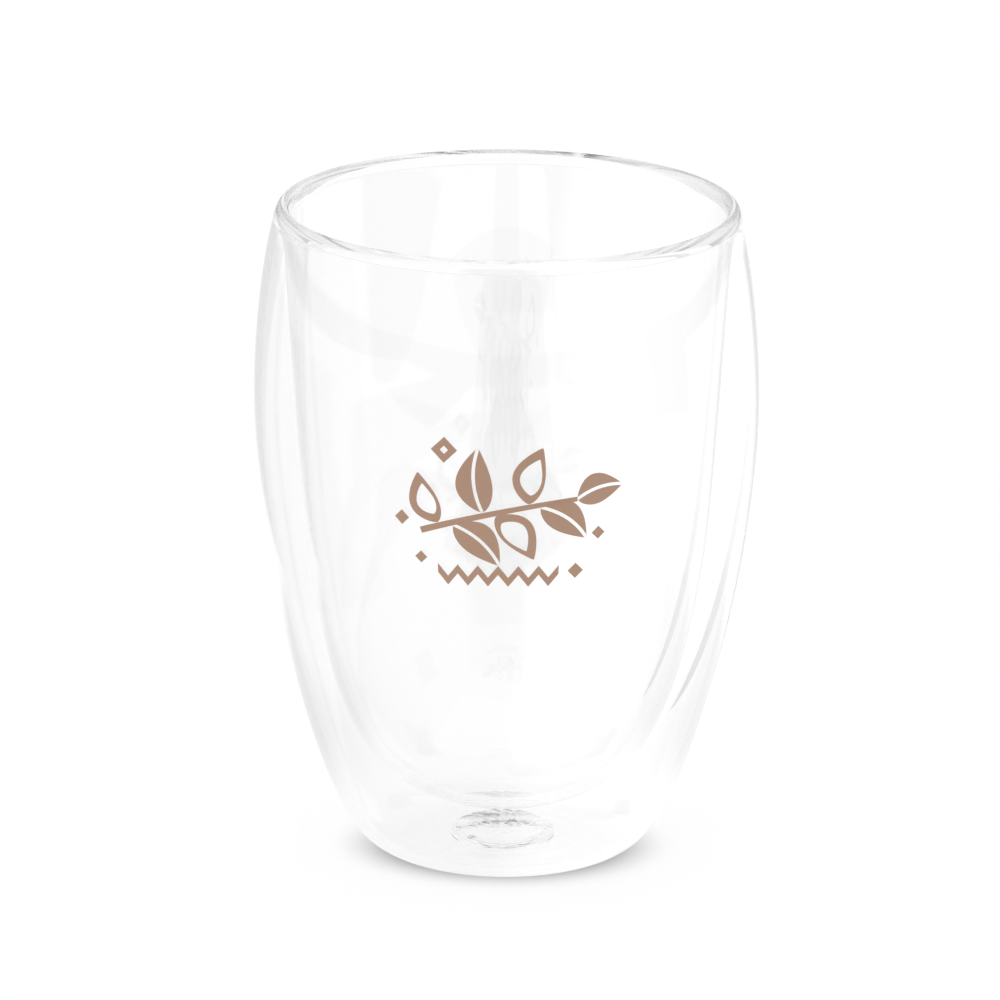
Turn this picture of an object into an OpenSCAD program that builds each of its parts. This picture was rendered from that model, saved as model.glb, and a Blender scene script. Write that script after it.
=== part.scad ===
// A cup of blown borosilicate glass with two walls and sealed air between them.
// Each wall is a thin skin on a curved profile, and the inner one is a deep round bowl.
// The bowl hangs from the bead of melted glass that closes the two walls at the rim.
// The hole in the base, which lets air out while the glass is hot, is closed by a seal.

/* [Cup] */
// Height from the table to the top of the rim
cup_h = 112; // [104:1:120]
// Diameter of the belly, the widest ring of the outer wall
belly_d = 85; // [82:0.5:90]
// Height of the belly's widest ring above the table
belly_h = 79; // [74:1:84]
// How far the rim lies inside the belly's widest ring
rim_inset = 3.3; // [2.5:0.1:5]

/* [Glass] */
// Thickness of the outer wall
outer_t = 1.4; // [1.2:0.1:1.8]
// Thickness of the bowl's wall
inner_t = 1.3; // [1:0.1:1.6]
// Air gap between the walls where it ends, just under the rim's bead
rim_gap = 0.3; // [0.3:0.05:0.6]
// Height of the solid bead of glass that joins the walls
bead_h = 2.5; // [2.3:0.1:4]
// How far the bead's crest lies inside the rim's outer edge
crest_inset = 1.7; // [1.5:0.05:1.9]

/* [Base] */
// Outside diameter of the flat ring that the cup stands on
foot_d = 32; // [31:0.5:34]
// Width of the flat ring
foot_w = 3; // [2:0.1:4]
// Radius of the round heel between the flat ring and the wall
heel_r = 11.7; // [10.5:0.1:12.5]
// Slope of the wall where the heel ends, in degrees above the table
heel_slope = 43; // [41:1:45]
// Thickness of the base
base_t = 1.6; // [1.2:0.1:2]
// Rise of the base's underside from the flat ring to the middle
punt_h = 0.9; // [0.6:0.1:1.3]

/* [Bowl] */
// Air gap between the base's middle and the bowl
base_gap = 6.2; // [5:0.1:8]
// Height above the table of the bowl's waist, where its round bottom runs into its wall
waist_h = 52; // [49:1:55]
// Air gap between the walls at the waist
waist_gap = 5.1; // [4:0.1:6]
// Outward lean of the bowl's wall at the waist, in degrees from upright
waist_lean = 8.5; // [7:0.5:10]

/* [Vent seal] */
// Diameter of the vent hole in the base
vent_d = 9; // [7:0.5:11]
// Diameter of the seal where it has flowed out over the base
seal_d = 17.6; // [15:0.2:19]
// Height of the seal's rolled lip above the middle of the base
seal_h = 1.3; // [0.8:0.1:1.8]
// How far the lip's crest lies inside the seal's edge
lip_inset = 1.6; // [1:0.1:2.4]
// Depth of the dish inside the lip
dish_depth = 1; // [0.4:0.1:1.4]

/* [Hidden] */
$fn = 72;
// Sides of a full circle where the part uses only a shallow cap of it
cap_sides = 360;
// Straight steps in each curved stretch of a wall
curve_steps = 9;
// How far a cut runs past what it cuts
overrun = 1;

belly_r = belly_d / 2;
rim_r = belly_r - rim_inset;
foot_r = foot_d / 2;
vent_r = vent_d / 2;
seal_r = seal_d / 2;

// Lean of each wall where it meets the bead, in degrees from upright
rim_lean = 15;
bowl_lean = 3;
// Pull of each curve at its two ends, as shares of the distance between them
flank_shares = [0.135, 0.34];
shoulder_shares = [0.31, 0.26];
bottom_shares = [0.415, 0.56];
neck_shares = [0.17, 0.29];
bead_shares = [0.48, 0.31];
lip_shares = [0.4, 0.45];
dish_shares = [0.3, 0.5];

// The bead sits on both walls' flat top edges and is as wide as they are together
seat_h = cup_h - bead_h;
outer_seat_w = outer_t / cos(rim_lean);
inner_seat_w = inner_t / cos(bowl_lean);
bead_w = outer_seat_w + rim_gap + inner_seat_w;
bowl_rim_r = rim_r - outer_seat_w - rim_gap;

// The raised underside follows a large circle whose centre is this far down
punt_r = foot_r - foot_w;
dome_r = (pow(punt_r, 2) + pow(punt_h, 2)) / (2 * punt_h);
dome_z = punt_h - dome_r;

// A direction in the profile's plane, by its angle above the horizontal
function direction(angle) = [cos(angle), sin(angle)];

// The control points of a curve that leaves p along u and arrives at q along v
function curve(p, u, q, v, shares) =
    let (reach = norm(q - p))
    [p, p + reach * shares[0] * u, q - reach * shares[1] * v, q];

function curve_point(c, t) =
    let (s = 1 - t)
    pow(s, 3) * c[0] + 3 * pow(s, 2) * t * c[1] + 3 * s * pow(t, 2) * c[2] + pow(t, 3) * c[3];

function curve_heading(c, t) =
    let (s = 1 - t,
        d = pow(s, 2) * (c[1] - c[0]) + 2 * s * t * (c[2] - c[1]) + pow(t, 2) * (c[3] - c[2]))
    d / norm(d);

// Points along a curve, each moved inwards by depth at right angles to the curve
function skin(c, depth, first = 0) = [
    for (i = [first:curve_steps])
        let (t = i / curve_steps, d = curve_heading(c, t))
        curve_point(c, t) + depth * [-d[1], d[0]]
];

// The outer wall runs from the heel up to the belly and back in to the rim
heel_top = [foot_r + heel_r * sin(heel_slope), heel_r * (1 - cos(heel_slope))];
belly = [belly_r, belly_h];
rim_seat = [rim_r, seat_h];
flank = curve(heel_top, direction(heel_slope), belly, direction(90), flank_shares);
shoulder = curve(belly, direction(90), rim_seat, direction(90 + rim_lean), shoulder_shares);

// Radius of the air space at a height, inside the outer wall
function space_r(height) =
    lookup(height, [for (p = concat(skin(flank, outer_t), skin(shoulder, outer_t, 1))) [p[1], p[0]]]);

// The bowl runs from the middle of its round bottom up to its waist and on to the rim
waist = [space_r(waist_h) - waist_gap, waist_h];
bowl_seat = [bowl_rim_r, seat_h];
bowl_foot = [0, punt_h + base_t + base_gap];
bottom = curve(bowl_foot, direction(0), waist, direction(90 - waist_lean), bottom_shares);
neck = curve(waist, direction(90 - waist_lean), bowl_seat, direction(90 - bowl_lean), neck_shares);

// The bead runs on from both walls and closes over them in a round crest
crest = [rim_r - crest_inset, cup_h];
bead_root = [rim_r - bead_w, seat_h];
bead_outside = curve(rim_seat, direction(90 + rim_lean), crest, direction(180), bead_shares);
bead_inside = curve(bead_root, direction(90 - bowl_lean), crest, direction(0), bead_shares);

// The seal stands up from the base at its edge, rolls over in a lip and sinks to its middle
seal_edge = [seal_r, dome_z + sqrt(pow(dome_r + base_t, 2) - pow(seal_r, 2))];
lip_crest = [seal_r - lip_inset, punt_h + base_t + seal_h];
dish_foot = [0, lip_crest[1] - dish_depth];
lip = curve(seal_edge, direction(90), lip_crest, direction(180), lip_shares);
dish = curve(lip_crest, direction(180), dish_foot, direction(180), dish_shares);

// A wall's last point, carried on along its lean to the given height
function carried_on(points, lean, height) =
    let (end = points[len(points) - 1])
    end + (height - end[1]) * [tan(lean), 1];

// What lies inside the outer wall's face once that face has moved inwards by depth
module outer_area(depth, top) {
    wall = concat(skin(flank, depth), skin(shoulder, depth, 1));
    polygon(concat([[0, depth], [foot_r, depth]], wall,
        [carried_on(wall, -rim_lean, top), [0, top]]));
    // The heel's round, drawn from one centre at every depth
    intersection() {
        translate([foot_r, heel_r]) circle(r = heel_r - depth);
        polygon([[foot_r, heel_r], [foot_r, 0], [heel_top[0], 0], heel_top]);
    }
}

// What lies inside the bowl's outer face once that face has moved inwards by depth
module bowl_area(depth, top) {
    wall = concat(skin(bottom, depth), skin(neck, depth, 1));
    polygon(concat(wall, [carried_on(wall, bowl_lean, top), [0, top]]));
}

// What lies under the raised middle of the base, up to the given height over its underside
module dome_area(height) {
    translate([0, dome_z]) circle(r = dome_r + height, $fn = cap_sides);
}

// The outer wall with its heel, flat ring, raised base and vent hole
module outer_shell() {
    color("#E3E8E8", 0.35)
        rotate_extrude()
            difference() {
                outer_area(0, seat_h + overrun);
                difference() {
                    outer_area(outer_t, seat_h + 2 * overrun);
                    dome_area(base_t);
                    square([belly_r, base_t]);
                }
                dome_area(0);
                translate([0, seat_h]) square([belly_r, 3 * overrun]);
                square([vent_r, base_t + punt_h + overrun]);
            }
}

// The bowl, open at the top
module inner_shell() {
    color("#EDF1F1", 0.35)
        rotate_extrude()
            difference() {
                bowl_area(0, seat_h + overrun);
                bowl_area(inner_t, seat_h + 2 * overrun);
                translate([0, seat_h]) square([belly_r, 3 * overrun]);
            }
}

// The ring of melted glass on both walls, with a round crest
module rim_bead() {
    inside = skin(bead_inside, 0);
    color("#F4F6F6", 0.5)
        rotate_extrude()
            polygon(concat(skin(bead_outside, 0), [for (i = [curve_steps - 1:-1:0]) inside[i]]));
}

// The seal fills the vent and lies around it on the base, as a dish with a rolled lip
module vent_seal() {
    color("#C4C9C9", 0.6)
        rotate_extrude()
            difference() {
                polygon(concat([[0, 0], [seal_r, 0]], skin(lip, 0), skin(dish, 0, 1)));
                dome_area(0);
                difference() {
                    dome_area(base_t);
                    square([vent_r, punt_h + base_t]);
                }
            }
}

outer_shell();
inner_shell();
rim_bead();
vent_seal();
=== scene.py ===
"""The looks of the double walled glass cup: blown glass, vent seal, fired print, white studio."""
import math

import bpy
import numpy as np
from bpy.props import FloatProperty, FloatVectorProperty, PointerProperty
from mathutils import Matrix, Vector


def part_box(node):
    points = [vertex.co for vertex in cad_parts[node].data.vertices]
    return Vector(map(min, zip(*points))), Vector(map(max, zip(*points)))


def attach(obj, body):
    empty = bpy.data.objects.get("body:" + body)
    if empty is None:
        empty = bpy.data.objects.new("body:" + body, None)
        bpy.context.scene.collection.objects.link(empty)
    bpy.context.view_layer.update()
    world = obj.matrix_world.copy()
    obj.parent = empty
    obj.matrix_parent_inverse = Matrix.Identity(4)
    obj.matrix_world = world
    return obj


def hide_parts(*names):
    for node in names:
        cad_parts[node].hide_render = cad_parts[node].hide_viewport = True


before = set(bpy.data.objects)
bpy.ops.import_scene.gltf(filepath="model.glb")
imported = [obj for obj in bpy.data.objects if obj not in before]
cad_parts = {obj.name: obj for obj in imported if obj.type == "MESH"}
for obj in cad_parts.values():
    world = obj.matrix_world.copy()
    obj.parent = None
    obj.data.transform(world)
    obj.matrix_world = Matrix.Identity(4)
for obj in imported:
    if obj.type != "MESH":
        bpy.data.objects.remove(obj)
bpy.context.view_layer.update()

bl_info = {
    "name": "Double Walled Glass Cup",
    "version": (1, 0, 0),
    "blender": (4, 5, 0),
    "location": "View3D > Sidebar > Glass Cup",
    "description": "Builds the glass, the print and the studio of a double walled glass cup",
    "category": "Object",
}

MM = 0.001
OUTER_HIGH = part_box("outer_shell")[1]
BOWL_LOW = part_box("inner_shell")[0]
BEAD_LOW, BEAD_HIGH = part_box("rim_bead")
SEAL_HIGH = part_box("vent_seal")[1]

AROUND = 240               # steps round the cup's axis
CURVE_STEPS = 40           # steps along each curve of a wall, and twice as many along the longest
ROUND_STEPS = 24           # steps along the tight rounds of the heel, the rim and the seal's lip
BASE_STEPS = 8             # steps along each stretch of the base and of the seal's bed on it
CREASE = math.radians(35)  # edges that turn more than this stay sharp
SEAT_MARGIN = 0.02 * MM    # a wall's points this near to its seat give way to the seat's own point

# Pulls of the walls' curves at their two ends, as shares of the distance between them
FLANK_SHARES = (0.135, 0.34)
SHOULDER_SHARES = (0.31, 0.26)
BOTTOM_SHARES = (0.415, 0.56)
NECK_SHARES = (0.17, 0.29)
BEAD_SHARES = (0.48, 0.31)
LIP_SHARES = (0.4, 0.45)
DISH_SHARES = (0.3, 0.5)

# The slow waves in the walls' thickness: their size, and each one's count round the cup, its start
# in radians, the millimetres of height over which it turns on by a radian, and its share
UNEVEN = 0.02 * MM
WAVES = ((2, 0.9, 38, 1.0), (3, 2.6, -55, 0.7), (7, 4.4, 90, 0.25))
# The ripples on the back of the seal: their height, and each one's count round the seal, its wander
# and its slant in radians, its start and its share
RIPPLE = 0.12 * MM
RIPPLES = ((13, 3, 9, 0, 1.0), (23, 0, -31, 1.7, 0.7), (41, 0, 17, 0, 0.5))
RIPPLE_SIDE = 0.12         # how far right of straight back they are highest, in radians
SLUMP = 0.45 * MM          # how much lower the seal's lip lies at the front
# Shares of the seal's radius where each of the two sets in, is full, and starts to fade to the edge
RIPPLE_BAND = (0.4, 0.6, 0.94)
SLUMP_BAND = (0.3, 0.7, 0.9)

GLASS_IOR = 1.473          # borosilicate glass
ENAMEL_IOR = 1.5           # ceramic enamel with a glassy binder
# The waves on each skin of glass: millimetres from wave to wave, and their height in millimetres
OUTER_SKIN = (22, 0.008)
BOWL_SKIN = (25, 0.008)
RIM_SKIN = (9, 0.015)
SEAL_SKIN = (3, 0.1)
SKIN_DRAW = (1, 1, 0.35)   # how dense they lie across, front to back and upwards
# The painted shade in the seal's glass, laid out as folds of noise, which gather at one side of it
FOLD_SHADE_MM = 1.6              # millimetres from fold to fold
FOLD_SHADE_DRAW = (0.32, 1.5, 1) # how dense they lie across, front to back and upwards
FOLD_SHADE_SIDE = 104            # azimuth of the side that they gather at, in degrees
FOLD_SHADE_REACH = (0.36, 0.66)  # shares of the seal's radius, towards that side, where they set in
FOLD_SHADE_BREAK = (0.34, 0.58)  # levels of the noise between which clear glass turns into painted shade
# The enamel, whose printing screen has threads 0.1 mm apart; their marks are drawn coarser, to show
CLOUD_MM = 6.0             # size of the clouds in the enamel's thickness, in millimetres
THREAD_MM = 0.25           # millimetres from mark to mark
THREAD_DEPTH = 0.004 * MM  # depth of the marks

# The print's design, in millimetres about its middle. Each leaf has its place along the stem, its
# heading in degrees, its length and its width, and says whether it is solid
LEAVES = (
    (0.12, 112, 9.0, 4.9, False), (0.2, -42, 10.2, 5.7, True), (0.4, 94, 11.0, 6.0, True),
    (0.47, -50, 9.9, 5.5, False), (0.68, 76, 9.8, 5.4, False), (0.75, -36, 9.6, 5.5, True),
    (1.0, 14, 8.0, 5.2, True),
)
# Each diamond by its middle and the length of its side, the open one by its middle and half its
# diagonal, and the zigzag line by its middle, its reach, its rise and its number of teeth
DIAMONDS = ((-17.5 - 1.6j, 1.8), (11.9 - 10.2j, 1.9), (-14.3 - 8.2j, 1.5), (15.6 - 3.8j, 1.6))
OPEN_DIAMOND = (-10.2 + 10.6j, 2.2)
ZIGZAG = (-1.2 - 10.9j, 20.4, 2.1, 6)
ZIGZAG_CUT = 1.485         # thickness of the zigzag line where it is cut upright, in strokes
LEAF_OFFSET = 0.55         # strokes from the stem's middle to a leaf's root
LEAF_ENDS = (0.004, 0.996) # shares of a leaf's length where it starts and ends, off its points
LEAF_STEPS = 32            # steps from a leaf's root to its tip
VEIN = 0.55                # width of a solid leaf's bare vein, in strokes
VEIN_MOST = 0.95           # the most of a leaf's width that the vein may take
OUTLINE = 0.85             # width of an open leaf's line, in strokes
OUTLINE_ROOT = 1.7         # length of that line's solid end at the root, as times its width
OUTLINE_TIP = 2.21         # length of the one at the tip

LIGHT_STEPS = 1024         # times that light may turn, as it runs on inside the walls from the rim
FLOOR_DROP = 0.05 * MM     # how far the sheet lies under the foot, so that their faces stay apart
# The contact shade that the camera sees on the sheet round the foot
CONTACT_START = 1.2 * MM   # gap between the foot's edge and the ring where the shade is darkest
CONTACT_END = 9.2 * MM     # gap between the foot's edge and the shade's end
CONTACT_LIGHT = 0.49       # share of the sheet's light that is left where the shade is darkest
CONTACT_OVAL = 0.84        # depth of the shade's oval over its width
# Painted light and shade on the sheet behind the cup, which show in the glass alone
LEFT_LIGHT = 0.97          # share of the sheet's light left of the line that parts it
RIGHT_LIGHT = 1.06         # share of the sheet's light right of that line
PARTING_LEAN = 0.035       # how far the line runs to the right for each metre back
PARTING = (-4 * MM, 8 * MM)         # where the change at the line starts and ends, across the sheet
SIDE_SHADOW = (85 * MM, 45 * MM, 0)   # middle of the painted shadow of the cup beside it, with a twin on the left
SIDE_REACH = (35 * MM, 66 * MM)     # radii between which the spots fade out
SIDE_LIGHT = (0.8, 0.82)            # share of the light that is left in the left and the right spot
FRONT_FADE = (-60 * MM, -10 * MM)   # depths on the sheet between which all of this sets in

TABLE_REACH = 3.0          # how far the table runs each way, in metres
TABLE_DROP = 4 * MM        # how far the table lies under the foot
CLOTH_RISE = 1 * MM        # how high the cloths and the card lie over the sheet
# The sheet, and the card and the cloths on it, by their near left and far right corners, in metres
SHEET = ((-0.95, -0.9), (0.95, 0.95))
LEFT_CARD = ((-0.6, -0.05), (-0.11, 0.7))
CLOTHS = (
    ("front_cloth", (-0.07, -2.0), (0.09, -0.14)),
    ("right_cloth", (0.42, -0.9), (0.95, -0.02)),
    ("left_cloth", (-0.55, -0.9), (-0.25, -0.38)),
)
# The wedge on the sheet's back right, by the azimuth in degrees and the distance in metres of its
# tip and of its two far corners
WEDGE = ((63, 0.075), (60, 0.62), (69, 0.62))
# Each card's name, azimuth and elevation in degrees, distance, width and height in metres, and
# brightness, where 1 is white
CARDS = (
    ("overhead_softbox", 90, 89, 1.2, 1.7, 1.7, 1.1),
    ("right_softbox", 62, 9, 1.2, 0.5, 0.36, 1.15),
    ("left_softbox", 187, 8, 1.2, 0.6, 0.3, 1.0),
    ("left_flag", 127, 25, 1.2, 0.45, 0.32, 0.25),
    ("right_flag", 45, 37, 1.2, 0.6, 0.32, 0.5),
    ("back_flag", 105, 35, 1.2, 0.5, 0.35, 0.5),
    ("front_flag", 337, 24, 1.2, 0.32, 0.26, 0.4),
    ("camera_side", 275, 12, 2.0, 1.2, 0.4, 0.55),
)
CARD_CENTRE = (0, 0, 60 * MM)       # the point that all cards face
SHIFT = (-0.005626, 0.026852)       # how far the frame lies off the lens's axis, in frame widths
SENSOR = 36                # width of the camera's sensor in millimetres
NEAREST = 0.05             # how near to the camera a thing may stand and still show, in metres


def linear(code):
    """An sRGB hex colour as linear red, green, blue and alpha."""
    shades = [int(code[i:i + 2], 16) / 255 for i in (1, 3, 5)]
    return (*(v / 12.92 if v <= 0.04045 else ((v + 0.055) / 1.055) ** 2.4 for v in shades), 1.0)


def length(name, description, default):
    """A length that a user may change, in metres."""
    return FloatProperty(name=name, description=description, default=default, min=0, unit="LENGTH",
                         precision=5)


def angle(name, description, degrees):
    """An angle that a user may change."""
    return FloatProperty(name=name, description=description, default=math.radians(degrees),
                         subtype="ANGLE")


def colour(name, description, code):
    """A colour that a user may change, given as an sRGB hex code."""
    return FloatVectorProperty(name=name, description=description, default=linear(code), size=4,
                               min=0, max=1, subtype="COLOR")


def brightness(name, description, default):
    """A brightness that a user may change, where 1 shows as white."""
    return FloatProperty(name=name, description=description, default=default, min=0, soft_max=1,
                         subtype="FACTOR")


class GlassLook(bpy.types.PropertyGroup):
    """Sizes of the two walls, the rim and the seal, and the glass's colours; the outer sizes are
    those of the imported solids."""
    height: length("Height", "From the table to the crest of the rim", BEAD_HIGH.z)
    seat_height: length("Seat height", "Where the rim's bead sits on both walls", BEAD_LOW.z)
    belly_radius: length("Belly radius", "Radius of the outer wall's widest ring", OUTER_HIGH.x)
    belly_height: length("Belly height", "Height of the widest ring", 79 * MM)
    rim_radius: length("Rim radius", "Outer radius of the rim's bead", BEAD_HIGH.x)
    rim_lean: angle("Rim lean", "Inward lean of the outer wall at the rim", 15)
    crest_inset: length("Crest inset", "From the rim's outer edge in to its crest", 1.7 * MM)
    outer_wall: length("Outer wall", "Thickness of the outer wall", 1.4 * MM)
    inner_wall: length("Bowl wall", "Thickness of the bowl's wall", 1.3 * MM)
    rim_gap: length("Rim gap", "Width of the air space just under the rim", 0.3 * MM)
    foot_radius: length("Foot radius", "Outer radius of the flat ring under the cup", 16 * MM)
    foot_width: length("Foot width", "Width of the flat ring under the cup", 3 * MM)
    heel_radius: length("Heel radius", "Radius of the round heel over the foot", 11.7 * MM)
    heel_slope: angle("Heel slope", "Slope of the wall where the heel ends", 43)
    base: length("Base", "Thickness of the base", 1.6 * MM)
    punt: length("Punt", "Rise of the base's underside in the middle", 0.9 * MM)
    bowl_foot: length("Bowl foot", "Height of the bowl's lowest point", BOWL_LOW.z)
    bowl_lean: angle("Bowl lean", "Outward lean of the bowl at the rim", 3)
    waist_height: length("Waist height", "Height of the bowl's waist", 52 * MM)
    waist_radius: length("Waist radius", "Outer radius of the bowl at its waist", 33.35 * MM)
    waist_lean: angle("Waist lean", "Outward lean of the bowl at its waist", 8.5)
    vent_radius: length("Vent radius", "Radius of the hole in the base", 4.5 * MM)
    seal_radius: length("Seal radius", "Radius of the seal on the base", SEAL_HIGH.x)
    seal_height: length("Seal height", "Crest of the seal's lip above the table", SEAL_HIGH.z)
    lip_inset: length("Lip inset", "From the seal's edge in to the lip's crest", 1.6 * MM)
    dish_depth: length("Dish depth", "Depth of the dish inside the lip", 1.0 * MM)
    clear: colour("Glass", "Colour of the clear glass", "#FFFFFF")
    # The colour of the painted shade in the folds at the seal's back edge
    fold_shade: colour("Seal fold shade", "Colour of the painted shade in the folds at the seal's back edge", "#6C7272")


class PrintLook(bpy.types.PropertyGroup):
    """Place, size and colour of the fired print on the front of the outer wall."""
    middle: length("Middle", "Height of the print's middle above the table", 70.5 * MM)
    stroke: length("Stroke", "Width of the print's lines", 1.06 * MM)
    lift: length("Lift", "How far the enamel stands up from the glass", 0.04 * MM)
    bite: length("Bite", "How far the enamel reaches into the glass", 0.015 * MM)
    thin: colour("Thin enamel", "Colour where the enamel lies thinnest", "#B9957E")
    thick: colour("Thick enamel", "Colour where the enamel lies thickest", "#B28F78")


class StudioLook(bpy.types.PropertyGroup):
    """The sheet under the cup, the light round it and the camera's place."""
    room: brightness("Room light", "Brightness of the even light of the room", 0.88)
    sheet: colour("Sheet", "Colour of the sheet that the cup stands on", "#646464")
    glow: brightness("Sheet light", "Brightness of the light that comes up through the sheet", 0.91)
    table: colour("Table", "Colour of the table round the sheet and of the cloths", "#C0C0C0")
    card: colour("Card", "Colour of the card that lies on the sheet's left", "#EFEFEF")
    wedge: colour("Wedge", "Colour of the wedge that draws the outline on the right", "#E4E4E4")
    distance: length("Camera distance", "From the camera to the cup's middle", 1.5)
    tilt: angle("Camera tilt", "How far the camera looks down", 16.365)
    roll: angle("Camera roll", "How far the camera is turned about its view", 0.519)
    lens: FloatProperty(name="Lens", description="Focal length in millimetres", default=321.25,
                        unit="CAMERA")


def heading(degrees):
    """A unit vector in the plane of radius and height, by its angle above the horizontal."""
    turn = math.radians(degrees)
    return np.array((math.cos(turn), math.sin(turn)))


def curve(start, leaving, end, arriving, shares, depth=0.0, steps=CURVE_STEPS):
    """A cubic curve from start, left along one heading, to end, reached along another.

    Its two middle control points lie along the headings, at the given shares of the distance
    between its ends. Each point is then moved by depth to the left of the curve."""
    start, end = np.array(start), np.array(end)
    reach = np.linalg.norm(end - start)
    controls = np.stack((start, start + reach * shares[0] * heading(leaving),
                         end - reach * shares[1] * heading(arriving), end))
    t = np.linspace(0, 1, steps + 1)[:, None]
    s = 1 - t
    points = np.hstack((s ** 3, 3 * s * s * t, 3 * s * t * t, t ** 3)) @ controls
    slopes = np.hstack((s * s, 2 * s * t, t * t)) @ np.diff(controls, axis=0)
    slopes /= np.linalg.norm(slopes, axis=1, keepdims=True)
    return points + depth * np.column_stack((-slopes[:, 1], slopes[:, 0]))


def cut_at(points, lean, height):
    """The points below a height, and one more at that height, reached along the wall's lean."""
    kept = points[points[:, 1] < height - SEAT_MARGIN]
    rise = height - kept[-1, 1]
    return np.vstack((kept, kept[-1] + rise * np.array((math.tan(lean), 1))))


def punt_circle(sizes, raised, radii):
    """Points of the base's large circle, which passes through the flat ring's inner edge and the
    middle of the underside; raised moves it up by growing the circle."""
    edge = sizes.foot_radius - sizes.foot_width
    circle = (edge ** 2 + sizes.punt ** 2) / (2 * sizes.punt)
    heights = sizes.punt - circle + np.sqrt((circle + raised) ** 2 - radii ** 2)
    return np.column_stack((radii, heights))


def heel_arc(sizes, depth):
    """The heel's round at a depth, from the flat of the base there out to the end of the heel."""
    radius = sizes.heel_radius - depth
    lowest = max(depth, sizes.base if depth else 0)
    first = math.acos((sizes.heel_radius - lowest) / radius)
    turn = np.linspace(first, sizes.heel_slope, ROUND_STEPS + 1)
    return np.column_stack((sizes.foot_radius + radius * np.sin(turn),
                            sizes.heel_radius - radius * np.cos(turn)))


def outer_face(sizes, depth):
    """The outer wall's face from the end of the heel to the seat, moved inwards by depth."""
    slope = sizes.heel_slope
    heel_end = (sizes.foot_radius + sizes.heel_radius * math.sin(slope),
                sizes.heel_radius * (1 - math.cos(slope)))
    belly = (sizes.belly_radius, sizes.belly_height)
    seat = (sizes.rim_radius, sizes.seat_height)
    flank = curve(heel_end, math.degrees(slope), belly, 90, FLANK_SHARES, depth, 2 * CURVE_STEPS)
    shoulder = curve(belly, 90, seat, 90 + math.degrees(sizes.rim_lean), SHOULDER_SHARES, depth)
    return cut_at(np.vstack((flank, shoulder[1:])), -sizes.rim_lean, sizes.seat_height)


def seat_radii(sizes):
    """The radii where the seat changes from the outer wall to the air space, from that to the bowl,
    and from the bowl to the cup's inside."""
    outer = sizes.rim_radius - sizes.outer_wall / math.cos(sizes.rim_lean)
    bowl = outer - sizes.rim_gap
    return outer, bowl, bowl - sizes.inner_wall / math.cos(sizes.bowl_lean)


def bowl_face(sizes, depth):
    """The bowl's outer face from its lowest point to the seat, moved inwards by depth."""
    waist = (sizes.waist_radius, sizes.waist_height)
    seat = (seat_radii(sizes)[1], sizes.seat_height)
    up = 90 - math.degrees(sizes.waist_lean)
    bottom = curve((0, sizes.bowl_foot), 0, waist, up, BOTTOM_SHARES, depth, 2 * CURVE_STEPS)
    neck = curve(waist, up, seat, 90 - math.degrees(sizes.bowl_lean), NECK_SHARES, depth)
    return cut_at(np.vstack((bottom, neck[1:])), sizes.bowl_lean, sizes.seat_height)


def blown(turn, radius, height):
    """How blown glass varies in thickness, in metres: slow waves round the cup, which lean with
    height and move a ring's points in and out."""
    moved = sum(share * np.sin(count * turn + start + height / MM / pitch)
                for count, start, pitch, share in WAVES)
    return UNEVEN * moved, 0 * moved


def step(value, start, end):
    """A smooth step from 0 where the value is at start to 1 where it is at end."""
    share = np.clip((value - start) / (end - start), 0, 1)
    return share * share * (3 - 2 * share)


def melted(turn, radius, height):
    """How the melted seal differs from a round dish, in metres: ripples, which are sines of turn
    and radius, cross the back of the dish and its lip, and the lip lies lower towards the front."""
    reach = radius / SEAL_HIGH.x
    back = 0.5 + 0.5 * np.sin(turn + RIPPLE_SIDE)
    ripples = sum(share * np.sin(count * turn + wander * np.sin(4 * turn) + slant * reach + start)
                  for count, wander, slant, start, share in RIPPLES)
    rippled, slumped = (step(reach, low, full) * step(reach, 1, fading)
                        for low, full, fading in (RIPPLE_BAND, SLUMP_BAND))
    return 0 * ripples, RIPPLE * ripples * rippled * back ** 3 - SLUMP * (1 - back) * slumped


def joined(*stretches):
    """One profile out of several stretches, each given with its material's number and its share of
    unevenness; a point that ends one stretch and starts the next is kept once."""
    points, kinds, shares = [], [], []
    for stretch, kind, share in stretches:
        stretch = np.atleast_2d(stretch)
        if points and np.allclose(points[-1][-1], stretch[0], atol=1e-9):
            stretch = stretch[1:]
        points.append(stretch)
        kinds.append(np.full(len(stretch), kind))
        shares.append(np.full(len(stretch), float(share)))
    return np.vstack(points), np.concatenate(kinds), np.concatenate(shares)


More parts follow.
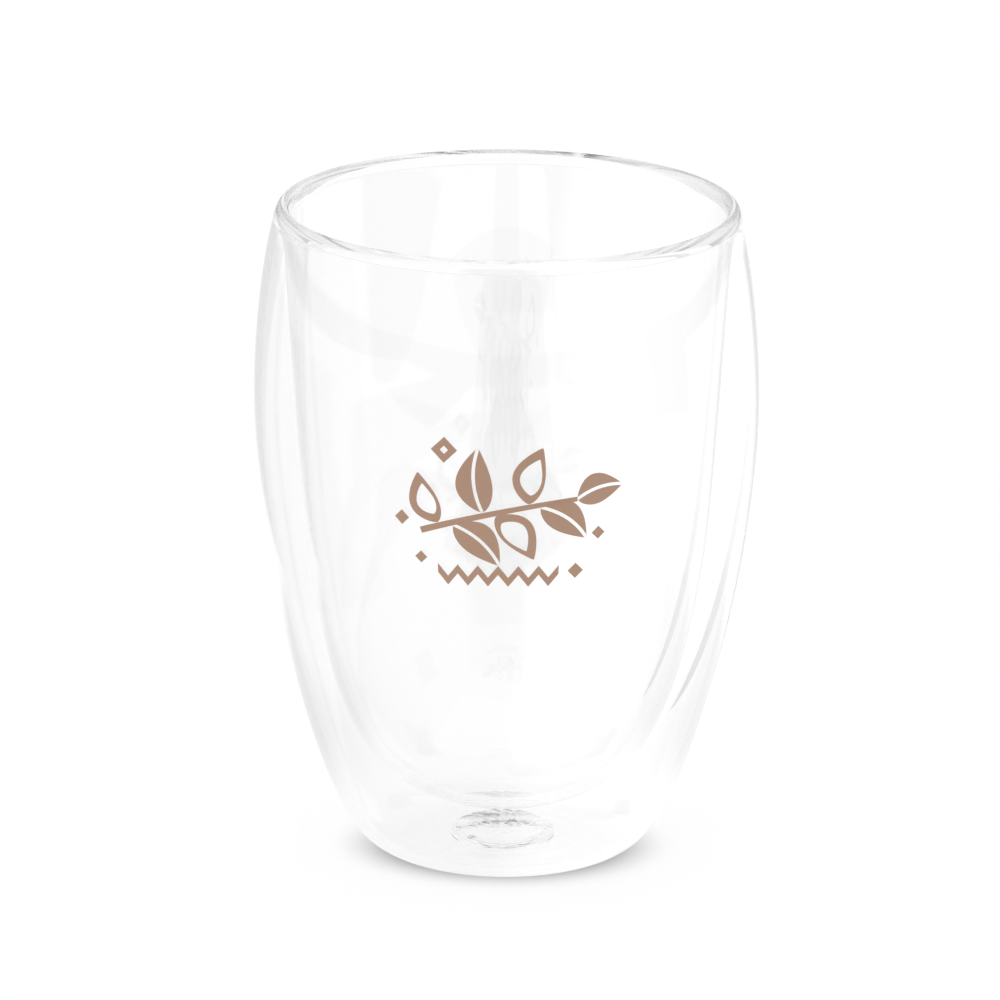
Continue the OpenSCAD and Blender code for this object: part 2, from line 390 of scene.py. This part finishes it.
def turned(name, profile, kinds, shares, change):
    """A surface of revolution, with faces that point to the right of the profile's path.

    Each profile point goes round the axis as a ring of AROUND vertices. change gives how far each
    vertex moves outwards and upwards, and shares how much of that each ring takes. A profile that
    starts and ends on the axis closes there in fans, and any other closes on its own start. kinds
    gives each stretch between two points its material's number."""
    poles = profile[0, 0] == 0
    rings, shares = (profile[1:-1], shares[1:-1]) if poles else (profile, shares)
    turn = np.linspace(0, 2 * np.pi, AROUND, endpoint=False)[None, :]
    outwards, upwards = change(turn, rings[:, :1], rings[:, 1:])
    radius = rings[:, :1] + shares[:, None] * outwards
    height = rings[:, 1:] + shares[:, None] * upwards
    points = np.stack((radius * np.cos(turn), radius * np.sin(turn), height), -1).reshape(-1, 3)
    here = np.arange(AROUND)
    after = np.roll(here, -1)
    low = AROUND * np.arange(len(rings) - 1 if poles else len(rings))[:, None]
    high = (low + AROUND) % (AROUND * len(rings))
    faces = np.stack((low + here, low + after, high + after, high + here), -1)
    faces = faces.reshape(-1, 4).tolist()
    marks = np.repeat(kinds[1:-1] if poles else kinds, AROUND)
    if poles:
        first, last = len(points), len(points) + 1
        top = AROUND * (len(rings) - 1)
        ends = profile[[0, -1], 1] + (0, shares[-1] * upwards[-1].mean())
        points = np.vstack((points, (0, 0, ends[0]), (0, 0, ends[1])))
        faces += np.stack((np.full(AROUND, first), after, here), -1).tolist()
        faces += np.stack((top + here, top + after, np.full(AROUND, last)), -1).tolist()
        marks = np.concatenate((marks, np.full(AROUND, kinds[0]), np.full(AROUND, kinds[-1])))
    return solid(name, points, faces, marks)


def solid(name, points, faces, marks=None):
    """A smooth mesh object at the origin, with creases where its faces turn sharply; marks gives
    each face its material's number."""
    mesh = bpy.data.meshes.new(name)
    mesh.from_pydata(points.tolist(), [], faces)
    mesh.update()
    mesh.shade_smooth()
    mesh.set_sharp_from_angle(angle=CREASE)
    if marks is not None:
        mesh.polygons.foreach_set("material_index", np.asarray(marks, np.int32))
    piece = bpy.data.objects.new(name, mesh)
    bpy.context.scene.collection.objects.link(piece)
    return piece


def finish(piece, slot, materials, *nodes):
    """Gives a piece its materials and its body, and hides the solids that it stands for; slot is
    not used.
    """
    for material in materials:
        piece.data.materials.append(material)
    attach(piece, "root")
    if nodes:
        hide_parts(*nodes)


def node(tree, kind, links=(), **settings):
    """Adds a node; links maps its input sockets to values or to other nodes' outputs."""
    made = tree.nodes.new(kind)
    for key, value in settings.items():
        setattr(made, key, value)
    for key, value in dict(links).items():
        if isinstance(value, bpy.types.NodeSocket):
            tree.links.new(value, made.inputs[key])
        else:
            made.inputs[key].default_value = value
    return made


def new_material(name):
    """An empty material and its node tree."""
    made = bpy.data.materials.new(name)
    made.use_nodes = True
    made.node_tree.nodes.clear()
    return made, made.node_tree


# Borosilicate glass, blown in a lamp's flame and fire-polished. The eye gets a colourless body with
# a mirror's gloss, dark only where it bends the view aside, and what shows through it swims a
# little in the slow waves that blowing left. The rim and the seal were melted again, so their waves
# are shorter and higher.
def blown_glass(name, sizes, skin, tint=None):
    """Clear glass with the waves of a skin, as bump; tint adds the nodes that colour it."""
    made, tree = new_material(name)
    place = node(tree, "ShaderNodeTexCoord").outputs["Object"]
    wave_mm, height_mm = skin
    drawn = node(tree, "ShaderNodeMapping", {"Vector": place, "Scale": SKIN_DRAW})
    waves = node(tree, "ShaderNodeTexNoise",
                 {"Vector": drawn.outputs[0], "Scale": 1 / (wave_mm * MM), "Detail": 1.0})
    bump = node(tree, "ShaderNodeBump",
                {"Height": waves.outputs["Fac"], "Strength": 1.0, "Distance": height_mm * MM})
    clear = node(tree, "ShaderNodeBsdfPrincipled",
                 {"Base Color": tint(tree, place, sizes) if tint else sizes.clear,
                  "Roughness": 0.0, "IOR": GLASS_IOR, "Transmission Weight": 1.0,
                  "Normal": bump.outputs[0]})
    node(tree, "ShaderNodeOutputMaterial", {"Surface": clear.outputs[0]})
    return made


def painted_fold_shade(tree, place, sizes):
    """The colour of the seal's glass, with painted shade in it: a broken dark crescent along the
    seal's back edge, where the noise gathers in folds, while the dish stays clear and bright. It
    is noise, drawn out along the edge, times a step towards the back."""
    side = (*heading(FOLD_SHADE_SIDE), 0)
    back = node(tree, "ShaderNodeVectorMath", {0: place, 1: side}, operation="DOT_PRODUCT")
    edge = node(tree, "ShaderNodeMapRange",
                {"Value": back.outputs["Value"], "From Min": FOLD_SHADE_REACH[0] * sizes.seal_radius,
                 "From Max": FOLD_SHADE_REACH[1] * sizes.seal_radius}, interpolation_type="SMOOTHSTEP")
    drawn = node(tree, "ShaderNodeMapping", {"Vector": place, "Scale": FOLD_SHADE_DRAW})
    folds = node(tree, "ShaderNodeTexNoise",
                 {"Vector": drawn.outputs[0], "Scale": 1 / (FOLD_SHADE_MM * MM), "Detail": 3.0,
                  "Distortion": 1.5})
    broken = node(tree, "ShaderNodeMapRange",
                  {"Value": folds.outputs["Fac"], "From Min": FOLD_SHADE_BREAK[0],
                   "From Max": FOLD_SHADE_BREAK[1]}, interpolation_type="SMOOTHSTEP")
    # Mask of the painted shade: the fold colour is mixed into the glass where it is 1
    dark = node(tree, "ShaderNodeMath", {0: edge.outputs[0], 1: broken.outputs[0]},
                operation="MULTIPLY")
    mixed = node(tree, "ShaderNodeMix", {"Factor": dark.outputs[0], "A": sizes.clear,
                                         "B": sizes.fold_shade}, data_type="RGBA")
    return mixed.outputs["Result"]


# Glass that melted into glass. No surface is left there, so light goes straight on, and the eye
# sees the two pieces as one.
def fused_glass():
    """The one material of all faces where two pieces are fused."""
    known = bpy.data.materials.get("fused_glass")
    if known:
        return known
    made, tree = new_material("fused_glass")
    straight = node(tree, "ShaderNodeBsdfTransparent")
    node(tree, "ShaderNodeOutputMaterial", {"Surface": straight.outputs[0]})
    return made


# Taupe ceramic enamel, printed through a screen and fired into the glass. The eye gets an opaque
# and nearly even colour, hardly clouded where it lies thinner, with a satin surface's soft shine.
def fired_enamel(look):
    """Opaque enamel: clouds of noise mix its colours, and finer noise gives the screen's marks."""
    made, tree = new_material("fired_enamel")
    place = node(tree, "ShaderNodeTexCoord").outputs["Object"]
    clouds = node(tree, "ShaderNodeTexNoise",
                  {"Vector": place, "Scale": 1 / (CLOUD_MM * MM), "Detail": 2.0})
    shade = node(tree, "ShaderNodeValToRGB", {"Fac": clouds.outputs["Fac"]})
    shade.color_ramp.elements[0].color = look.thick
    shade.color_ramp.elements[1].color = look.thin
    threads = node(tree, "ShaderNodeTexNoise", {"Vector": place, "Scale": 1 / (THREAD_MM * MM)})
    bump = node(tree, "ShaderNodeBump",
                {"Height": threads.outputs["Fac"], "Strength": 0.3, "Distance": THREAD_DEPTH})
    paint = node(tree, "ShaderNodeBsdfPrincipled",
                 {"Base Color": shade.outputs["Color"], "Roughness": 0.5, "IOR": ENAMEL_IOR,
                  "Normal": bump.outputs[0]})
    node(tree, "ShaderNodeOutputMaterial", {"Surface": paint.outputs[0]})
    return made


class CUP_OT_outer_wall(bpy.types.Operator):
    """Build the outer wall, with its heel, raised base and vent"""
    bl_idname = "cup.outer_wall"
    bl_label = "Outer Wall"

    def execute(self, context):
        sizes = context.scene.cup_glass
        edge = sizes.foot_radius - sizes.foot_width
        under = punt_circle(sizes, 0, np.linspace(sizes.vent_radius, edge, 2 * BASE_STEPS + 1))
        outside, inside = (np.vstack((heel_arc(sizes, depth), outer_face(sizes, depth)[1:]))
                           for depth in (0, sizes.outer_wall))
        floor = punt_circle(sizes, sizes.base, np.linspace(edge, sizes.seal_radius, BASE_STEPS + 1))
        floor[0, 1] = sizes.base
        bed = punt_circle(sizes, sizes.base,
                          np.linspace(sizes.seal_radius, sizes.vent_radius, BASE_STEPS + 1))
        profile, kinds, shares = joined(
            (under, 0, 0), (outside[:-1], 0, 0), (outside[-1], 1, 0), (inside[::-1], 0, 1),
            (floor[:-1], 0, 0), (bed, 1, 0))
        shares[np.isclose(profile[:, 1], sizes.seat_height)] = 0
        finish(turned("outer_wall", profile, kinds, shares, blown), "outer_glass",
               (blown_glass("blown_glass_outer", sizes, OUTER_SKIN), fused_glass()), "outer_shell")
        return {"FINISHED"}


class CUP_OT_bowl(bpy.types.Operator):
    """Build the bowl that hangs inside the outer wall"""
    bl_idname = "cup.bowl"
    bl_label = "Bowl"

    def execute(self, context):
        sizes = context.scene.cup_glass
        outside, inside = (bowl_face(sizes, depth) for depth in (0, sizes.inner_wall))
        profile, kinds, shares = joined(
            (outside[:-1], 0, 1), (outside[-1], 1, 0), (inside[::-1], 0, 0.6))
        profile[[0, -1], 0] = 0
        shares[np.isclose(profile[:, 1], sizes.seat_height)] = 0
        finish(turned("bowl", profile, kinds[:-1], shares, blown), "inner_glass",
               (blown_glass("blown_glass_bowl", sizes, BOWL_SKIN), fused_glass()), "inner_shell")
        return {"FINISHED"}


class CUP_OT_rim(bpy.types.Operator):
    """Build the bead of melted glass that joins the walls"""
    bl_idname = "cup.rim"
    bl_label = "Rim"

    def execute(self, context):
        sizes = context.scene.cup_glass
        outer, bowl, root = ((radius, sizes.seat_height) for radius in seat_radii(sizes))
        crest = (sizes.rim_radius - sizes.crest_inset, sizes.height)
        outside = curve((sizes.rim_radius, sizes.seat_height), 90 + math.degrees(sizes.rim_lean),
                        crest, 180, BEAD_SHARES, steps=ROUND_STEPS)
        inside = curve(root, 90 - math.degrees(sizes.bowl_lean), crest, 0, BEAD_SHARES,
                       steps=ROUND_STEPS)
        profile, kinds, shares = joined(
            (outside, 0, 0), (inside[::-1][:-1], 0, 0), (root, 1, 0), (bowl, 0, 0), (outer, 1, 0))
        finish(turned("rim", profile, kinds, shares, blown), "rim_glass",
               (blown_glass("fire_polished_rim", sizes, RIM_SKIN), fused_glass()), "rim_bead")
        return {"FINISHED"}


class CUP_OT_seal(bpy.types.Operator):
    """Build the seal that closes the vent in the base"""
    bl_idname = "cup.seal"
    bl_label = "Vent Seal"

    def execute(self, context):
        sizes = context.scene.cup_glass
        stem = punt_circle(sizes, 0, np.linspace(0, sizes.vent_radius, BASE_STEPS + 1))
        bed = punt_circle(sizes, sizes.base,
                          np.linspace(sizes.vent_radius, sizes.seal_radius, BASE_STEPS + 1))
        crest = (sizes.seal_radius - sizes.lip_inset, sizes.seal_height)
        lip = curve(bed[-1], 90, crest, 180, LIP_SHARES, steps=ROUND_STEPS)
        dish = curve(crest, 180, (0, sizes.seal_height - sizes.dish_depth), 180, DISH_SHARES)
        profile, kinds, shares = joined(
            (stem[:-1], 0, 0), (stem[-1], 1, 0), (bed[:-1], 1, 0), (lip, 0, 1), (dish, 0, 1))
        profile[[0, -1], 0] = 0
        # The seal's glass has painted shade in folds along its back edge
        finish(turned("seal", profile, kinds[:-1], shares, melted), "seal_glass",
               (blown_glass("melted_seal_glass", sizes, SEAL_SKIN, painted_fold_shade), fused_glass()),
               "vent_seal")
        return {"FINISHED"}


def fullness(share):
    """A leaf's width over its greatest width, at a share of its length: a sine that is drawn
    towards the root and rounded out."""
    return np.sin(np.pi * share ** 0.8) ** 0.85


def along_leaf(root, tip, width, side, share):
    """Points in the print's plane, as complex numbers: share runs from a leaf's root to its tip,
    and side from one edge, -1, to the other, 1. The midrib bows as a parabola."""
    axis = tip - root
    half = width / 2 * fullness(share)
    return root + axis * (share + 0.4j * share * (1 - share)) + 1j * axis / abs(axis) * half * side


def leaf_halves(root, tip, width, vein):
    """The two halves of a solid leaf, each from the bare line of the vein out to one edge."""
    share = np.linspace(*LEAF_ENDS, LEAF_STEPS + 1)[:, None]
    start = np.minimum(vein / (width * fullness(share)), VEIN_MOST)
    out = start + np.linspace(0, 1, 7)[None, :] * (1 - start)
    return [(along_leaf(root, tip, width, side * out, share), False) for side in (-1, 1)]


def leaf_line(root, tip, width, line):
    """The line round an open leaf, between its outline and a smaller leaf inside it."""
    share = np.linspace(*LEAF_ENDS, LEAF_STEPS + 1)
    share = np.concatenate((share, share[::-1]))
    side = np.repeat((1, -1), LEAF_STEPS + 1)
    shorter = line * (tip - root) / abs(tip - root)
    outside = along_leaf(root, tip, width, side, share)
    inside = along_leaf(root + OUTLINE_ROOT * shorter, tip - OUTLINE_TIP * shorter,
                        width - 2 * line, side, share)
    return [(outside + np.linspace(0, 1, 3)[:, None] * (inside - outside), True)]


def ribbon(line, widths):
    """A ribbon along a line of points, with a width at each point across the line's direction."""
    run = np.gradient(line)
    across = (widths * 1j * run / abs(run))[:, None]
    return [(line[:, None] + np.linspace(-0.5, 0.5, 3)[None, :] * across, False)]


def zigzag(middle, reach, rise, teeth, thickness):
    """A line of straight teeth, with its thickness measured upright."""
    u = np.linspace(0, teeth, 8 * teeth + 1)
    v = rise * (np.abs(u % 1 - 0.5) * 2 - 0.5)
    line = middle - reach / 2 + reach * u / teeth + 1j * v
    return [(line[:, None] + 1j * thickness * np.linspace(-0.5, 0.5, 3)[None, :], False)]


def diamond(middle, size):
    """A solid diamond: a square grid turned by 45 degrees."""
    steps = np.linspace(-0.5, 0.5, 4)
    grid = steps[:, None] + 1j * steps[None, :]
    return [(middle + size * grid * np.exp(0.25j * np.pi), False)]


def diamond_line(middle, size, stroke):
    """The line round an open diamond, between two squares turned by 45 degrees."""
    corners = np.exp(0.5j * np.pi * np.arange(5))
    edge = (corners[:-1, None] + np.diff(corners)[:, None] * np.linspace(0, 1, 4)[:-1]).ravel()
    sizes = np.array((size, size - stroke * math.sqrt(2)))[:, None]
    return [(middle + sizes * edge, True)]


def motifs(stroke):
    """The print's pieces, as grids of points in millimetres about its middle, each with whether it
    closes on itself: a branch of solid and open leaves over a zigzag line, with a few diamonds. The
    branch's stem is a parabola that gets thinner to its tip."""
    t = np.linspace(0, 1, 41)
    stem = (-14.2 + 26 * t) + 1j * (-3.5 + 9.2 * t - 3.4 * t * t)
    shapes = ribbon(stem, stroke * (1.05 - 0.3 * t))
    for place, degrees, long, wide, filled in LEAVES:
        root = np.interp(place, t, stem.real) + 1j * np.interp(place, t, stem.imag)
        way = np.exp(1j * math.radians(degrees))
        if place < 1:
            root += LEAF_OFFSET * stroke * way
        make, line = (leaf_halves, VEIN) if filled else (leaf_line, OUTLINE)
        shapes += make(root, root + long * way, wide, line * stroke)
    shapes += zigzag(*ZIGZAG, ZIGZAG_CUT * stroke)
    for middle, size in DIAMONDS:
        shapes += diamond(middle, size)
    return shapes + diamond_line(*OPEN_DIAMOND, stroke)


def slab(grid, closed, wall, look):
    """A thin closed solid on the wall's front: the grid is bent round the axis by its distance from
    the print's middle line, and lies a little above and a little under the glass's face."""
    rows, columns = grid.shape
    height = look.middle + grid.imag * MM
    radius = np.interp(height, wall[:, 1], wall[:, 0])
    turn = grid.real * MM / np.interp(look.middle, wall[:, 1], wall[:, 0])
    layers = [np.stack(((radius + up) * np.sin(turn), -(radius + up) * np.cos(turn), height), -1)
              for up in (look.lift, -look.bite)]
    top = np.arange(rows * columns).reshape(rows, columns)
    if closed:
        top = np.hstack((top, top[:, :1]))
        loops = (top[-1], top[0][::-1])
    else:
        loops = (np.concatenate((top[:, 0], top[-1, 1:], top[-2::-1, -1], top[0, -2::-1])),)
    faces = np.stack((top[:-1, :-1], top[1:, :-1], top[1:, 1:], top[:-1, 1:]), -1).reshape(-1, 4)
    sides = [np.stack((loop[1:], loop[:-1], loop[:-1] + grid.size, loop[1:] + grid.size), -1)
             for loop in loops]
    corners = grid.ravel()[faces]
    area = (np.conj(corners) * np.roll(corners, -1, 1)).imag.sum()
    faces = np.vstack((faces, faces[:, ::-1] + grid.size, *sides))
    return np.concatenate(layers).reshape(-1, 3), faces if area > 0 else faces[:, ::-1]


class CUP_OT_print(bpy.types.Operator):
    """Lay the fired print on the front of the outer wall"""
    bl_idname = "cup.print"
    bl_label = "Print"

    def execute(self, context):
        look = context.scene.cup_print
        wall = outer_face(context.scene.cup_glass, 0)
        points, faces, count = [], [], 0
        for grid, closed in motifs(look.stroke / MM):
            spots, quads = slab(grid, closed, wall, look)
            points.append(spots)
            faces += (quads + count).tolist()
            count += len(spots)
        finish(solid("print", np.vstack(points), faces), "print_enamel", (fired_enamel(look),))
        return {"FINISHED"}


def contact_shade(tree, place, foot_radius):
    """The share of the sheet's light that the camera sees round the foot: dimmed by the square of a
    share that falls from 1 to 0 outwards in an oval."""
    oval = node(tree, "ShaderNodeVectorMath", {0: place, 1: (CONTACT_OVAL, 1, 0)},
                operation="MULTIPLY")
    away = node(tree, "ShaderNodeVectorMath", {0: oval.outputs[0]}, operation="LENGTH")
    near = node(tree, "ShaderNodeMapRange",
                {"Value": away.outputs["Value"], "From Min": foot_radius + CONTACT_START,
                 "From Max": foot_radius + CONTACT_END, "To Min": 1, "To Max": 0})
    square = node(tree, "ShaderNodeMath", {0: near.outputs[0], 1: 2}, operation="POWER")
    shade = node(tree, "ShaderNodeMapRange",
                 {"Value": square.outputs[0], "To Min": 1, "To Max": CONTACT_LIGHT})
    return shade.outputs[0]


def painted_light_in_glass(tree, place):
    """The share of the sheet's light that the glass sees, with painted light and shade: two tones,
    parted by a line behind the cup, and a painted shadow of the cup in a round spot on either side,
    which draws the outline of the lower walls. In front of the cup it is 1."""
    across, back, _ = node(tree, "ShaderNodeSeparateXYZ", {0: place}).outputs
    line = node(tree, "ShaderNodeMath", {0: back, 1: -PARTING_LEAN, 2: across},
                operation="MULTIPLY_ADD")
    tones = node(tree, "ShaderNodeMapRange",
                 {"Value": line.outputs[0], "From Min": PARTING[0], "From Max": PARTING[1],
                  "To Min": LEFT_LIGHT, "To Max": RIGHT_LIGHT}, interpolation_type="SMOOTHSTEP")
    # Painted shadow of the cup on the sheet: a dim round spot on either side
    mirrored = node(tree, "ShaderNodeVectorMath", {0: place}, operation="ABSOLUTE")
    beside = node(tree, "ShaderNodeVectorMath", {0: mirrored.outputs[0], 1: SIDE_SHADOW},
                  operation="DISTANCE")
    side = node(tree, "ShaderNodeMapRange",
                {"Value": across, "From Min": -SIDE_REACH[0], "From Max": SIDE_REACH[0],
                 "To Min": SIDE_LIGHT[0], "To Max": SIDE_LIGHT[1]})
    spots = node(tree, "ShaderNodeMapRange",
                 {"Value": beside.outputs["Value"], "From Min": SIDE_REACH[0],
                  "From Max": SIDE_REACH[1], "To Min": side.outputs[0], "To Max": 1},
                 interpolation_type="SMOOTHSTEP")
    shaded = node(tree, "ShaderNodeMath", {0: tones.outputs[0], 1: spots.outputs[0]},
                  operation="MULTIPLY")
    behind = node(tree, "ShaderNodeMapRange",
                  {"Value": back, "From Min": FRONT_FADE[0], "From Max": FRONT_FADE[1],
                   "To Min": 1, "To Max": shaded.outputs[0]})
    return behind.outputs[0]


# White acrylic with light coming up through it. The eye gets a plain white ground that stays white
# under the cup, where only a painted soft shadow shows round the foot; painted light and shade
# behind the cup show in the glass alone.
def lit_sheet(look, foot_radius):
    """A sheet that gives its own light, to the glass as well as to the camera, and is matt."""
    made, tree = new_material("white_acrylic")
    place = node(tree, "ShaderNodeTexCoord").outputs["Object"]
    # The camera sees the painted contact shadow, the glass the painted light and shade behind the
    # cup
    share = node(tree, "ShaderNodeMix",
                 {"Factor": node(tree, "ShaderNodeLightPath").outputs["Is Camera Ray"],
                  "A": painted_light_in_glass(tree, place),
                  "B": contact_shade(tree, place, foot_radius)})
    glow = node(tree, "ShaderNodeMath", {0: share.outputs[0], 1: look.glow}, operation="MULTIPLY")
    light = node(tree, "ShaderNodeEmission", {"Strength": glow.outputs[0]})
    sheet = node(tree, "ShaderNodeBsdfDiffuse", {"Color": look.sheet})
    both = node(tree, "ShaderNodeAddShader", {0: light.outputs[0], 1: sheet.outputs[0]})
    node(tree, "ShaderNodeOutputMaterial", {"Surface": both.outputs[0]})
    return made


def plain(name, shader, **settings):
    """A material of the studio that is the same all over: a matt card or cloth, or a lit card."""
    made, tree = new_material(name)
    surface = node(tree, shader, settings)
    node(tree, "ShaderNodeOutputMaterial", {"Surface": surface.outputs[0]})
    return made


def matt(name, shade):
    """Matt card or cloth of an even colour, which the glass shows as a soft grey without gloss."""
    return plain(name, "ShaderNodeBsdfDiffuse", Color=shade)


def staged(name, corners, material, seen=False):
    """A flat piece of the studio between its corners. The glass shows it, and the camera sees it
    only where seen is true."""
    piece = solid(name, np.array(corners), [tuple(range(len(corners)))])
    piece.data.materials.append(material)
    piece.visible_camera = seen


def board(name, low, high, height, material, seen=False):
    """A level board of the studio between two corners."""
    corners = [(low[0], low[1], height), (high[0], low[1], height),
               (high[0], high[1], height), (low[0], high[1], height)]
    staged(name, corners, material, seen)


def wedge(name, height, material):
    """A level wedge on the sheet, with its tip beside the cup."""
    turns = [(math.radians(azimuth), reach) for azimuth, reach in WEDGE]
    corners = [(reach * math.cos(turn), reach * math.sin(turn), height) for turn, reach in turns]
    staged(name, corners, material)


def card(name, azimuth, elevation, reach, across, tall, shade):
    """An upright card of the studio that faces the cup, of an even brightness."""
    turn, rise = math.radians(azimuth), math.radians(elevation)
    away = np.array((math.cos(rise) * math.cos(turn), math.cos(rise) * math.sin(turn),
                     math.sin(rise)))
    side = np.array((-math.sin(turn), math.cos(turn), 0))
    up = np.cross(away, side) * tall / 2
    side = side * across / 2
    middle = away * reach + CARD_CENTRE
    corners = (middle - side - up, middle + side - up, middle + side + up, middle - side + up)
    staged(name, corners, plain(name + "_cloth", "ShaderNodeEmission", Strength=shade))


def room_light(strength):
    """The even light of a white room."""
    world = bpy.data.worlds.new("studio")
    world.use_nodes = True
    world.node_tree.nodes.clear()
    light = node(world.node_tree, "ShaderNodeBackground",
                 {"Color": linear("#FFFFFF"), "Strength": strength})
    node(world.node_tree, "ShaderNodeOutputWorld", {"Surface": light.outputs[0]})
    return world


def aimed_camera(look, middle):
    """A camera in front that looks down at the cup's middle, turned a little about its view."""
    data = bpy.data.cameras.new("camera")
    data.lens = look.lens
    data.sensor_width = SENSOR
    data.shift_x, data.shift_y = SHIFT
    data.clip_start = NEAREST
    camera = bpy.data.objects.new("camera", data)
    bpy.context.scene.collection.objects.link(camera)
    place = Vector((0, -look.distance * math.cos(look.tilt),
                    middle + look.distance * math.sin(look.tilt)))
    view = (Vector((0, 0, middle)) - place).to_track_quat("-Z", "Y").to_matrix().to_4x4()
    camera.matrix_world = Matrix.Translation(place) @ view @ Matrix.Rotation(look.roll, 4, "Z")
    return camera


class CUP_OT_studio(bpy.types.Operator):
    """Set up the sheet, the cards and cloths, the light and the camera"""
    bl_idname = "cup.studio"
    bl_label = "Studio"

    def execute(self, context):
        scene = context.scene
        look, sizes = scene.cup_studio, scene.cup_glass
        scene.view_settings.view_transform = "Standard"
        for kind in ("max_bounces", "transmission_bounces", "glossy_bounces",
                     "transparent_max_bounces"):
            setattr(scene.cycles, kind, LIGHT_STEPS)
        board("floor", *SHEET, -FLOOR_DROP, lit_sheet(look, sizes.foot_radius), seen=True)
        board("table", (-TABLE_REACH, -TABLE_REACH), (TABLE_REACH, TABLE_REACH), -TABLE_DROP,
              matt("grey_table", look.table))
        board("left_card", *LEFT_CARD, CLOTH_RISE, matt("white_card", look.card))
        for name, low, high in CLOTHS:
            board(name, low, high, CLOTH_RISE, matt(name + "_weave", look.table))
        wedge("right_wedge", CLOTH_RISE, matt("grey_felt", look.wedge))
        for settings in CARDS:
            card(*settings)
        scene.world = room_light(look.room)
        scene.camera = aimed_camera(look, sizes.height / 2)
        return {"FINISHED"}


OPERATORS = (CUP_OT_outer_wall, CUP_OT_bowl, CUP_OT_rim, CUP_OT_seal, CUP_OT_print, CUP_OT_studio)
GROUPS = {"cup_glass": GlassLook, "cup_print": PrintLook, "cup_studio": StudioLook}


class CUP_PT_panel(bpy.types.Panel):
    """Lists the cup's sizes and colours and the buttons that build it"""
    bl_idname = "CUP_PT_panel"
    bl_label = "Glass Cup"
    bl_space_type = "VIEW_3D"
    bl_region_type = "UI"
    bl_category = "Glass Cup"

    def draw(self, context):
        for name, group in GROUPS.items():
            box = self.layout.box()
            for key in group.__annotations__:
                box.prop(getattr(context.scene, name), key)
        for operator in OPERATORS:
            self.layout.operator(operator.bl_idname)


def register():
    """Registers the properties, the operators and the panel."""
    for name, group in GROUPS.items():
        bpy.utils.register_class(group)
        setattr(bpy.types.Scene, name, PointerProperty(type=group))
    for item in (*OPERATORS, CUP_PT_panel):
        bpy.utils.register_class(item)


def unregister():
    """Takes all of that away again."""
    for item in reversed((*OPERATORS, CUP_PT_panel)):
        bpy.utils.unregister_class(item)
    for name, group in reversed(GROUPS.items()):
        delattr(bpy.types.Scene, name)
        bpy.utils.unregister_class(group)


def main():
    """Builds every piece and the studio."""
    register()
    for operator in OPERATORS:
        group, name = operator.bl_idname.split(".")
        getattr(getattr(bpy.ops, group), name)()


if __name__ == "__main__":
    main()
